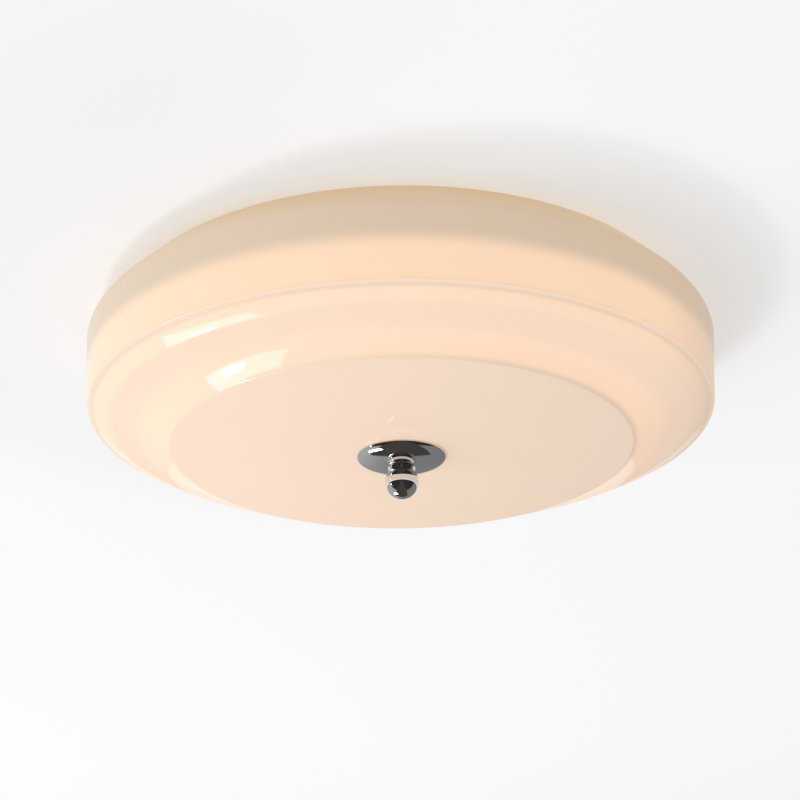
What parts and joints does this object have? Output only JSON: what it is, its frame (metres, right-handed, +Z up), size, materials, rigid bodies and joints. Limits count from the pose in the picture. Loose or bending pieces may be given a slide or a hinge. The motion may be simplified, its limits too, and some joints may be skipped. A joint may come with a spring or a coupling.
{
  "type": "flush mount ceiling light",
  "caption": "Round opal glass ceiling light on a shallow steel pan, held by a chromed ball finial that unscrews to let the shade down.",
  "frame": {"origin": "centre of the ceiling plane, in the middle of the crossbar's two ceiling-screw slots", "axes": "+Z up into the ceiling, X along the crossbar"},
  "size_m": [0.4036, 0.4035, 0.1154],
  "materials": {
    "opal_glass": "glossy opal, lit from inside",
    "silicone": "translucent white silicone",
    "chrome": "polished chrome",
    "pan_white": "white powder coat",
    "seal_foam": "soft foam",
    "zinc_steel": "zinc plated",
    "board_white": "white solder mask",
    "led_phosphor": "phosphor under clear resin",
    "connector_white": "moulded",
    "driver_white": "moulded, fine texture",
    "terminal_plastic": "moulded nylon",
    "brass": "bright brass",
    "black_rubber": "matt",
    "lead_sheath": "smooth sheath"
  },
  "bodies": {
    "fixture": {"ceiling_pan": "pan_white", "pan_seal": "seal_foam", "mounting_crossbar": "zinc_steel", "pan_studs": "zinc_steel", "pan_nuts": "zinc_steel", "centre_rod": "zinc_steel", "rod_nuts": "zinc_steel", "rod_washers": "zinc_steel", "led_board": "board_white", "led_chips": "led_phosphor", "led_screws": "zinc_steel", "led_connector": "connector_white", "led_driver": "driver_white", "driver_screws": "zinc_steel", "terminal_block": "terminal_plastic", "terminal_screws": "zinc_steel", "earth_washer": "zinc_steel", "earth_screw": "brass", "lead_grommet": "black_rubber", "led_lead": "lead_sheath", "input_lead": "lead_sheath"},
    "shade": {"glass_shade": "opal_glass", "shade_bush": "silicone", "shade_washer": "silicone"},
    "cap": {"finial_cap": "chrome"},
    "knob": {"finial_knob": "chrome"}
  },
  "joints": [
    {"name": "shade_lower", "type": "slide", "parent": "fixture", "child": "shade", "axis": [0, 0, -1], "range_m": [0, 0.13]},
    {"name": "finial_travel", "type": "slide", "parent": "shade", "child": "cap", "axis": [0, 0, -1], "range_m": [0, 0.01]},
    {"name": "finial_turn", "type": "hinge", "parent": "cap", "child": "knob", "pos_m": [0, 0, -0.1], "axis": [0, 0, -1], "range_deg": [0, 2880]}
  ],
  "couplings": [
    {"joint": "finial_turn", "follows": "finial_travel", "rad_per_m": 5026.5}
  ]
}
